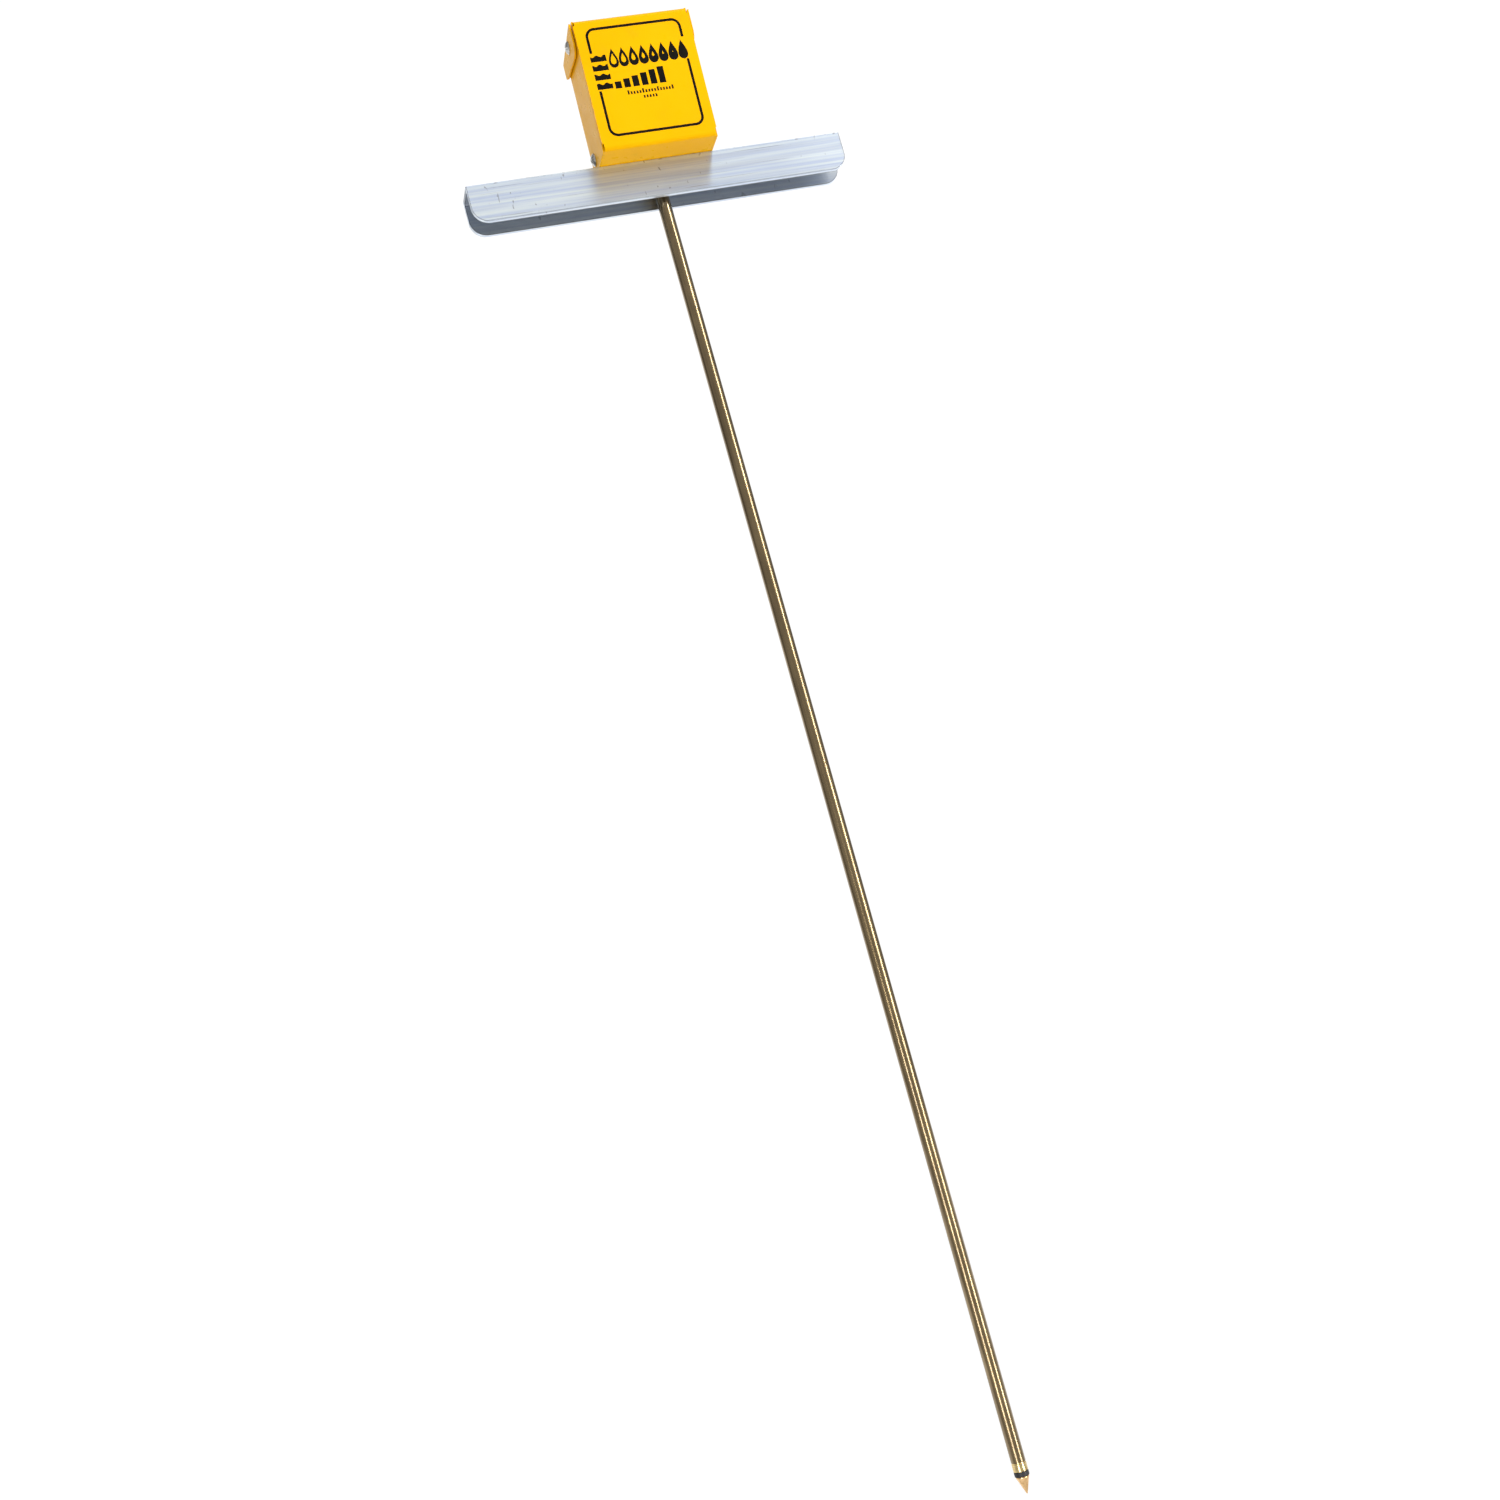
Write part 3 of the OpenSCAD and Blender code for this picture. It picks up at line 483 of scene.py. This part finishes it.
def arc(radius, start, end, centre=(0.0, 0.0), steps=None):
    """Points along an arc. Angles are in degrees, anticlockwise from the right."""
    count = steps or max(2, int(abs(end - start) / ARC_STEP))
    angles = [math.radians(start + (end - start) * k / count) for k in range(count + 1)]
    return [(centre[0] + radius * math.cos(a), centre[1] + radius * math.sin(a)) for a in angles]


def band(inner, outer, start, end):
    """A closed band between two radii."""
    return arc(outer, start, end) + arc(inner, end, start)


def bar(left, bottom, width, height):
    right, top = left + width, bottom + height
    return [(left, bottom), (right, bottom), (right, top), (left, top)]


def drop(centre, width, height):
    """A water drop, its point upwards."""
    points, fullness, taper = 36, 0.65, 1.5
    turns = [2 * math.pi * k / points for k in range(points)]
    return [(centre[0] + width * fullness * math.sin(a) * math.sin(a / 2) ** taper,
             centre[1] + height / 2 * math.cos(a)) for a in turns]


# ---------------------------------------------------------------- probe

CHAMFER = 0.25 * MM


def tube():
    wall = 0.9 * MM
    low, high, bore_r = TUBE_LOW.z, TUBE_HIGH.z, TUBE_R - wall
    piece = lathe("probe_tube_turned", [
        (bore_r, low), (TUBE_R - CHAMFER, low), (TUBE_R, low + CHAMFER),
        (TUBE_R, high), (bore_r, high)], "aged_brass")
    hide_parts("probe_tube")


def collar():
    """The end collar, with a groove where it meets the tube."""
    bore_r, groove = 2.55 * MM, 0.3 * MM
    low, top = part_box("end_collar")[0].z, TUBE_LOW.z
    piece = lathe("end_collar_turned", [
        (bore_r, low), (TUBE_R - CHAMFER, low), (TUBE_R, low + CHAMFER), (TUBE_R, top - 2 * groove),
        (TUBE_R - groove, top - 1.6 * groove), (TUBE_R - groove, top), (bore_r, top)],
        "collar_brass")
    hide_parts("end_collar")


def insulator():
    bore_r = 1.65 * MM
    low, high = (corner.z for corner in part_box("tip_insulator"))
    piece = lathe("tip_insulator_turned", [
        (bore_r, low), (TUBE_R - 1.5 * CHAMFER, low), (TUBE_R, low + CHAMFER),
        (TUBE_R, high - CHAMFER), (TUBE_R - CHAMFER, high), (bore_r, high)], "black_plastic")
    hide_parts("tip_insulator")


def tip():
    """The pointed electrode: a blunted point, a cone, and a narrow land at its top."""
    point_r, land, step = 0.5 * MM, 1.0 * MM, 0.15 * MM
    low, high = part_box("tip_electrode")
    base_r = high.x
    point = [(point_r * math.sin(a), low.z + point_r * (1 - math.cos(a)))
             for a in (math.radians(10 * k) for k in range(7))]
    piece = lathe("tip_electrode_turned", point + [
        (base_r - step, high.z - land), (base_r, high.z - land + step), (base_r, high.z - CHAMFER),
        (base_r - CHAMFER, high.z), (0.0, high.z)], "tip_bronze")
    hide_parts("tip_electrode")


def probe():
    """The tube and the three pieces at its end, turned finely, in place of their CAD nodes."""
    tube()
    collar()
    insulator()
    tip()


# ---------------------------------------------------------------- print on the front

BOX_W, BOX_H = 82 * MM, 94 * MM
HINGE_FROM_FRONT, HINGE_FROM_TOP = 18 * MM, 11 * MM
FRONT_TOP = HINGE + FORWARD * HINGE_FROM_FRONT + UPWARD * HINGE_FROM_TOP
LABEL_CENTRE = FRONT_TOP - UPWARD * 0.496 * BOX_H        # just above the middle of the front
BORDER_SHARE = 0.83         # of the box's width and height
CORNER_STEPS = 16


def border():
    """A rounded rectangle's line, with a gap in each side for the pictures that cross it."""
    half_w, half_h = BORDER_SHARE * BOX_W / 2, BORDER_SHARE * BOX_H / 2
    radius, line = 6.5 * MM, 1.85 * MM
    centre = (half_w - radius, half_h - radius)

    def corner_piece(side, above, from_y):
        """From a point on a side, round one corner, to the middle of the top or bottom."""
        outer = arc(radius, 0, 90, centre, CORNER_STEPS)
        inner = arc(radius - line, 0, 90, centre, CORNER_STEPS)
        outline = [(half_w, from_y)] + outer + [(0.0, half_h), (0.0, half_h - line)]
        outline += inner[::-1] + [(half_w - line, from_y)]
        return [(side * x, above * y) for x, y in outline]

    left_gap, right_gap = (-6 * MM, 21 * MM), (9 * MM, 25 * MM)
    return [corner_piece(side, above, end)
            for side, (low, high) in ((-1, left_gap), (1, right_gap))
            for above, end in ((1, high), (-1, -low))]


def soil_layers():
    """Four wavy layers, one above the other, across the border's left side."""
    left, foot, pitch = -34.5 * MM, -5 * MM, 6.6 * MM
    width_in_mm, depth, ripple = 11, 3.9 * MM, 0.7 * MM
    outlines = []
    for k in range(4):
        low = foot + k * pitch
        wave = [(left + x * MM, low + depth + ripple * math.sin(1.1 * x + k))
                for x in range(width_in_mm + 1)]
        outlines.append([(left + width_in_mm * MM, low), (left, low)] + wave)
    return outlines


def filling_drops():
    """A row of drops, from an empty one to a full one."""
    count = 8
    left, middle, pitch = -18.8 * MM, 16.2 * MM, 7.1 * MM
    width, height = 7.4 * MM, 14.0 * MM
    hollow_share, hollow_sag = 0.56, 0.6 * MM
    outlines = []
    for k in range(count):
        x = left + k * pitch
        outlines.append(drop((x, middle), width, height))
        hollow = hollow_share * (1 - k / (count - 1))
        if hollow > 0:
            outlines.append(drop((x, middle - hollow_sag), width * hollow, height * hollow))
    return outlines


def rising_bars():
    left, foot, pitch, width = -21.9 * MM, -5.7 * MM, 6.3 * MM, 4.5 * MM
    shortest, rise = 5.0 * MM, 1.35 * MM
    return [bar(left + k * pitch, foot, width, shortest + k * rise) for k in range(6)]


def tick_rows():
    """Two rows of small ticks. In the upper one, every fifth is long."""
    pitch, width, short, long = 2.1 * MM, 1.2 * MM, 2.0 * MM, 3.0 * MM
    upper_left, upper_foot = -14.6 * MM, -10.9 * MM
    lower_left, lower_foot = -4.1 * MM, -14.7 * MM
    upper = [bar(upper_left + k * pitch, upper_foot, width, short if k % 5 else long)
             for k in range(16)]
    return upper + [bar(lower_left + k * pitch, lower_foot, width, short) for k in range(5)]


def label_print():
    """A border, and plain pictures in place of words."""
    for name, outlines in {
        "label_border": border(),
        "label_soil_layers": soil_layers(),
        "label_drops": filling_drops(),
        "label_bars": rising_bars(),
        "label_ticks": tick_rows(),
    }.items():
        printed(name, outlines, LABEL_FACE, LABEL_CENTRE, "label_ink")


# ---------------------------------------------------------------- print on the dial

SCALE_START, SCALE_END = 135.0, 45.0        # degrees, at 0 and at the full scale
SCALE_FULL = 10
SCALE_R = 18.2 * MM
SCALE_LINE = 0.3 * MM
POINTER_OVER_DIAL = 0.8 * MM
DIAL_ORIGIN = ARBOR + FORWARD * POINTER_OVER_DIAL


def scale_angle(value):
    """Where a reading stands on the scale, in degrees."""
    return SCALE_START + (SCALE_END - SCALE_START) * value / SCALE_FULL


def scale_marks():
    """The scale's line and five ticks to a unit: long at even numbers, medium at odd ones."""
    per_unit = 5
    marks = [band(SCALE_R, SCALE_R + SCALE_LINE, SCALE_START, SCALE_END)]
    for k in range(SCALE_FULL * per_unit + 1):
        on_unit, on_even = k % per_unit == 0, k % (2 * per_unit) == 0
        length = (2.2 if on_even else 1.6 if on_unit else 1.0) * MM
        half = (0.20 if on_unit else 0.12) * MM
        a = math.radians(scale_angle(k / per_unit))
        out, side = Vector((math.cos(a), math.sin(a))), Vector((-math.sin(a), math.cos(a)))
        near, far = out * (SCALE_R + SCALE_LINE), out * (SCALE_R + length)
        marks.append([tuple(near - side * half), tuple(far - side * half),
                      tuple(far + side * half), tuple(near + side * half)])
    return marks


def dial_numeral(value):
    text = bpy.data.curves.new("numeral", "FONT")
    text.body = str(value)
    text.size = 3.0 * MM
    text.align_x, text.align_y = "CENTER", "CENTER"
    a = math.radians(scale_angle(value))
    at = DIAL_FACE @ Vector((math.cos(a), math.sin(a), 0)) * (SCALE_R + 4.0 * MM)
    as_print(f"dial_numeral_{value}", text, DIAL_FACE, DIAL_ORIGIN + at, "dial_ink")


def dial_print():
    """A 0 to 10 scale with ticks, three colour bands, numerals, and a drop under the pivot."""
    def on_dial(name, outlines, ink):
        printed(name, outlines, DIAL_FACE, DIAL_ORIGIN, ink)

    on_dial("dial_scale", scale_marks(), "dial_ink")
    stripe_inner, stripe_outer = SCALE_R - 2.0 * MM, SCALE_R - 0.6 * MM
    for name, (start, end) in {"dry": (0, 3), "moist": (3.1, 6.9), "wet": (7, 10)}.items():
        stripe = band(stripe_inner, stripe_outer, scale_angle(start), scale_angle(end))
        on_dial("dial_band_" + name, [stripe], "band_" + name)
    for value in range(0, SCALE_FULL + 1, 2):
        dial_numeral(value)
    on_dial("dial_drop", [drop((0.0, -8.5 * MM), 4.4 * MM, 6.4 * MM)], "band_wet")


# ---------------------------------------------------------------- camera, floor and light

CAMERA_AT = (-0.3716, -1.2280, -0.6157)
CAMERA_TURN, CAMERA_TILT, CAMERA_ROLL = 14.9, -9.51, -15.41         # degrees
LENS, SENSOR = 47.05, 36.0          # mm


def camera():
    """The camera at the reference viewpoint: low, left of the label, looking up, and rolled."""
    turn, tilt, roll = (math.radians(a) for a in (CAMERA_TURN, CAMERA_TILT, CAMERA_ROLL))
    view = (Matrix.Rotation(roll, 3, "Y") @ Matrix.Rotation(tilt, 3, "X")
            @ Matrix.Rotation(turn, 3, "Z"))
    right, forward, up = (view.transposed() @ Vector(v) for v in ((1, 0, 0), (0, 1, 0), (0, 0, 1)))
    data = bpy.data.cameras.new("camera")
    data.sensor_width = SENSOR
    data.lens = LENS
    data.clip_start, data.clip_end = 0.01, 200.0
    piece = linked("camera", data)
    piece.matrix_world = Matrix.LocRotScale(
        Vector(CAMERA_AT), Matrix((right, up, -forward)).transposed(), None)
    bpy.context.scene.camera = piece


FLOOR_DROP = 1.8            # the object hangs clear of the studio floor, as in a cut-out picture
FLOOR_REACH = 40.0
FRONT_FLOOR, BACK_FLOOR = -1.0, 2.2         # the Y between which the floor grows lighter


def floor():
    """A plain pale floor that grows lighter towards the back and glows a little there."""
    mesh = bpy.data.meshes.new("floor")
    low = CAD_BOX[0].z - FLOOR_DROP
    corners = [(x * FLOOR_REACH, y * FLOOR_REACH, low)
               for x, y in ((-1, -1), (1, -1), (1, 1), (-1, 1))]
    mesh.from_pydata(corners, [], [(0, 1, 2, 3)])
    s = Shader("floor_white", (0.92, 0.92, 0.92), 0.9)
    behind = s.remap(s.axis("Y"), FRONT_FLOOR, BACK_FLOOR)
    s.set("Base Color", s.mix(behind, (0.88, 0.88, 0.88), (0.93, 0.93, 0.93)))
    s.set("Emission Color", (1.0, 1.0, 1.0))
    s.set("Emission Strength", s.remap(behind, 0.0, 1.0, 0.05, 0.6))
    mesh.materials.append(s.material)
    linked("floor", mesh)


def around(bearing, distance, height):
    """A place round the probe. The bearing is in degrees from -Y, towards +X."""
    a = math.radians(bearing)
    return (distance * math.sin(a), -distance * math.cos(a), height)


def softbox(name, at, aim_height, size, radiance):
    """An area light aimed at a height on the probe's axis. Its radiance sets its energy."""
    data = bpy.data.lights.new(name, "AREA")
    data.shape = "RECTANGLE"
    data.size, data.size_y = size
    data.energy = radiance * math.pi * size[0] * size[1]
    toward = Vector((0.0, 0.0, aim_height)) - Vector(at)
    linked(name, data).matrix_world = Matrix.LocRotScale(
        Vector(at), toward.to_track_quat("-Z", "Y"), None)


# The studio's walls, as (place, level). A place is 0 straight in front and 1 straight behind.
FRONT_WALL, FLAG, BACK_WALL = 0.45, 0.22, 1.05
WALLS = [(0.0, FRONT_WALL), (0.42, FRONT_WALL), (0.50, FLAG), (0.72, FLAG), (0.82, BACK_WALL)]


def studio():
    """White walls: bright behind the object, softer in front, and dark flags at its sides."""
    world = bpy.data.worlds.new("studio")
    bpy.context.scene.world = world
    world.use_nodes = True
    tree = world.node_tree
    direction = tree.nodes.new("ShaderNodeTexCoord").outputs["Generated"]
    split = tree.nodes.new("ShaderNodeSeparateXYZ")
    tree.links.new(direction, split.inputs["Vector"])
    place = tree.nodes.new("ShaderNodeMapRange")
    place.inputs["From Min"].default_value = -1.0
    tree.links.new(split.outputs["Y"], place.inputs["Value"])
    ramp = tree.nodes.new("ShaderNodeValToRGB")
    tree.links.new(place.outputs["Result"], ramp.inputs["Fac"])
    elements = ramp.color_ramp.elements
    for position, _ in WALLS[len(elements):]:
        elements.new(position)
    for element, (position, level) in zip(elements, WALLS):
        element.position = position
        element.color = (level, level, level, 1.0)
    tree.links.new(ramp.outputs["Color"], tree.nodes["Background"].inputs["Color"])


def lights():
    """Two tall strips that draw the highlights on the metal, and a broad soft light from above."""
    distance, width = 2.0, 0.26
    for name, bearing, height, tall, radiance in (("strip_right", 40, -0.1, 2.6, 19.0),
                                                  ("strip_left", -33, -1.15, 1.1, 13.0)):
        softbox(name, around(bearing, distance, height), height, (width, tall), radiance)
    softbox("key", around(5, 1.1, 1.9), 0.1, (2.4, 1.6), 1.8)


# ---------------------------------------------------------------- the scene

camera()
floor()
studio()
lights()
probe()
label_print()
dial_print()
for node, width in SOFTENED.items():
    soften(node, width * MM)

bpy.context.scene.view_settings.view_transform = "Standard"
